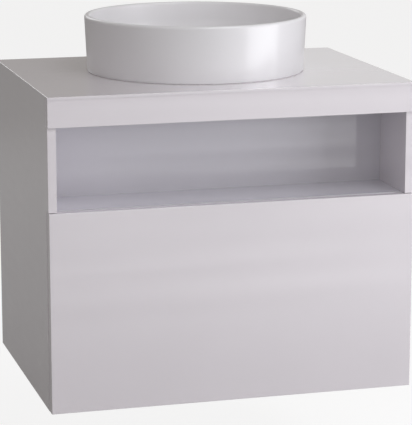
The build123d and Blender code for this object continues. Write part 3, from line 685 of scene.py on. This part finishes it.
def wall_rosette():
    """Domed collar against the wall: a flat lip round the pipe, a rounded bevel, a thin skirt."""
    low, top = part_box("wall_rosette")
    centre = middle_of("wall_rosette")
    outer = (top.x - low.x) / 2
    sheet = 1.2 * MM
    bevel = 5 * MM
    inner_shift = 0.6 * MM       # inside, the bevel's corners are set back by this
    shoulder = outer - bevel
    corners = [
        (PIPE_BORE, low.y, 0.4 * MM),
        (shoulder, low.y, 4 * MM),
        (outer, low.y + bevel, 4 * MM),
        (outer, top.y, 0.3 * MM),
        (outer - sheet, top.y, 0.3 * MM),
        (outer - sheet, low.y + bevel + inner_shift, 3 * MM),
        (shoulder - inner_shift, low.y + sheet, 3 * MM),
        (PIPE_BORE, low.y + sheet, 0.4 * MM),
    ]
    grid = turned(corners, towards_wall(centre.x, centre.z), step=0.8 * MM, segments=160)
    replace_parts(grid_piece("pipe_rosette", [mirrored(grid)], "cabinet", "chrome"), "wall_rosette")


def waste_thread():
    """Thread on the waste's tube between its locknut and the trap's nut: the radius follows a triangle
    wave of height over pitch less the turned angle, and drops to the tube at both ends."""
    clear = 0.3 * MM
    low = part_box("trap_union_nut")[1].z + clear
    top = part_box("waste_locknut")[0].z - clear
    pitch, ridge_height = 1.8 * MM, 0.7 * MM
    sunk = THREAD - 0.2 * MM     # the sleeve's inner face, inside the tube's wall
    corners = [(sunk, low, 0), (THREAD, low, 0), (THREAD, top, 0), (sunk, top, 0)]

    def wave(radius, angle, along):
        share = (along - low) / pitch - angle / (2 * math.pi)
        ridge = 1 - np.abs(2 * (share % 1) - 1)
        ends = np.clip(np.minimum(along - low, top - along) / pitch, 0, 1)
        return radius + ridge_height * ridge * ends * (radius >= THREAD)

    grid = turned(corners, upright(middle_of("waste_body")), step=0.3 * MM, segments=96, swell=wave)
    grid_piece("waste_thread", [grid], "cabinet", "chrome")


vessel_basin()
plug_cap()
union_nut()
slip_nuts()
trap_cup()
wall_rosette()
waste_thread()


# ---------------------------------------------------------------- stage, light, camera

PURE_WHITE = (1.0, 1.0, 1.0, 1.0)
FLOOR_DROP = 0.25
FLOOR_REACH = 30.0
FLOOR_GLOW = 0.8
FLOOR_SEEN = (0.2, 0.2, 0.2, 1.0)
AMBIENT = 0.315
AMBIENT_COLOR = (1.05, 1.0, 0.96, 1.0)
SOFTBOX_COLOR = (0.985, 1.0, 1.03)
LIT_MIDDLE = (0.0, -0.25, -0.15)
# azimuth from the front towards the right, elevation, distance, size and power
SOFTBOXES = {
    "key": (58, 0, 2.9, (2.0, 2.2), 46.5),
    "over_front": (20, 50, 3.5, (2.0, 1.6), 40.0),
    "front_fill": (-30, 15, 4.5, (2.0, 1.6), 8.8),
    "rear_fill": (191, 24, 4.0, (1.6, 1.6), 12.0),
}
# place, target, size and power of the card whose sheen lies on the top beside the basin
REAR_CARD = ((1.25, 1.2, 0.62), (0.2, -0.3, 0.07), (1.5, 0.9), 1.6)
CAMERA_PLACE = (-1.0675, -4.1256, 0.6470)
CAMERA_YAW = 0.2726
CAMERA_PITCH = 0.2110
LENS = 177.16


def stage_floor():
    """Pale floor under the washstand, far enough down for it to hang clear. To glossy rays only its glow
    rises in streaks in front of the washstand, more to the right, and faintly behind it: a painted
    reflection that lightens the glossy fronts and sides, though the floor is no lamp."""
    low = cad_box[0].z - FLOOR_DROP
    reach = FLOOR_REACH
    mesh = bpy.data.meshes.new("floor")
    corners = [(-reach, -reach, low), (reach, -reach, low), (reach, reach, low), (-reach, reach, low)]
    mesh.from_pydata(corners, [], [(0, 1, 2, 3)])
    made = bpy.data.objects.new("floor", mesh)
    bpy.context.scene.collection.objects.link(made)
    finish = Finish("floor", Roughness=0.9)
    finish.shader.inputs["Emission Color"].default_value = PURE_WHITE
    graph = finish.graph
    rays = graph.node("ShaderNodeLightPath").outputs
    axes = graph.node("ShaderNodeSeparateXYZ", {"Vector": finish.point}).outputs
    # glow seen only by glossy rays: painted reflection of bright streaks in front, stronger to the right,
    # and a faint painted sheen behind
    reflection_streaks = graph.noise(graph.stretch(finish.point, (0.5, 4.0, 1.0)), 1.0, 2.0)
    front = graph.span(axes["Y"], -1.5, -2.3)
    streaked_reflection = graph.math("MULTIPLY", front, graph.span(reflection_streaks, 0.35, 0.65, 0.2, 1.0))
    reflection_to_right = graph.math("MULTIPLY", streaked_reflection, graph.span(axes["X"], 0.0, 1.2, 0.75, 1.45))
    painted_sheen = graph.math("ADD", reflection_to_right, graph.span(axes["Y"], 1.0, 3.6, 0.0, 0.08))
    glow = graph.math("MULTIPLY", rays["Is Camera Ray"], FLOOR_GLOW)
    painted_reflection = graph.math("MULTIPLY", rays["Is Glossy Ray"], painted_sheen)
    finish.feed("Emission Strength", graph.math("ADD", glow, painted_reflection))
    pale = finish.use(TONE, Scale=0.6, **two_tones((0.5, 0.5, 0.5), spread=0.01))["Color"]
    finish.feed("Base Color", graph.blend(rays["Is Camera Ray"], pale, FLOOR_SEEN))
    mesh.materials.append(finish.material)


def softbox(name, place, target, size, power):
    """A rectangular area light at a place, turned to face a target."""
    data = bpy.data.lights.new(name, "AREA")
    data.color = SOFTBOX_COLOR
    data.shape = "RECTANGLE"
    data.size, data.size_y = size
    data.energy = power
    lamp = bpy.data.objects.new(name, data)
    bpy.context.scene.collection.objects.link(lamp)
    lamp.location = place
    aim = Vector(target) - Vector(place)
    lamp.rotation_euler = aim.to_track_quat("-Z", "Y").to_euler()


def studio():
    """A white backdrop, dim as a light source, and soft boxes round the washstand."""
    world = bpy.data.worlds.new("studio")
    bpy.context.scene.world = world
    world.use_nodes = True
    graph = Graph(world.node_tree)
    seen = graph.node("ShaderNodeLightPath").outputs["Is Camera Ray"]
    strength = graph.span(seen, 0.0, 1.0, AMBIENT, 1.0)
    color = graph.blend(seen, AMBIENT_COLOR, PURE_WHITE)
    background = world.node_tree.nodes["Background"].inputs
    world.node_tree.links.new(color, background["Color"])
    world.node_tree.links.new(strength, background["Strength"])
    middle = Vector(LIT_MIDDLE)
    for name, (azimuth, elevation, distance, size, power) in SOFTBOXES.items():
        turn, rise = math.radians(azimuth), math.radians(elevation)
        away = Vector((math.sin(turn) * math.cos(rise), -math.cos(turn) * math.cos(rise), math.sin(rise)))
        softbox(name, middle + away * distance, middle, size, power)
    softbox("rear_card", *REAR_CARD)
    bpy.context.scene.view_settings.view_transform = "Standard"


def camera():
    """Long lens, from the left of the front and a little above."""
    data = bpy.data.cameras.new("camera")
    made = bpy.data.objects.new("camera", data)
    bpy.context.scene.collection.objects.link(made)
    level = math.cos(CAMERA_PITCH)
    forward = Vector((math.sin(CAMERA_YAW) * level, math.cos(CAMERA_YAW) * level, -math.sin(CAMERA_PITCH)))
    made.location = CAMERA_PLACE
    made.rotation_euler = forward.to_track_quat("-Z", "Y").to_euler()
    data.sensor_width = 36.0
    data.lens = LENS
    data.clip_start = 0.1
    data.clip_end = 100.0
    bpy.context.scene.camera = made


stage_floor()
studio()
camera()
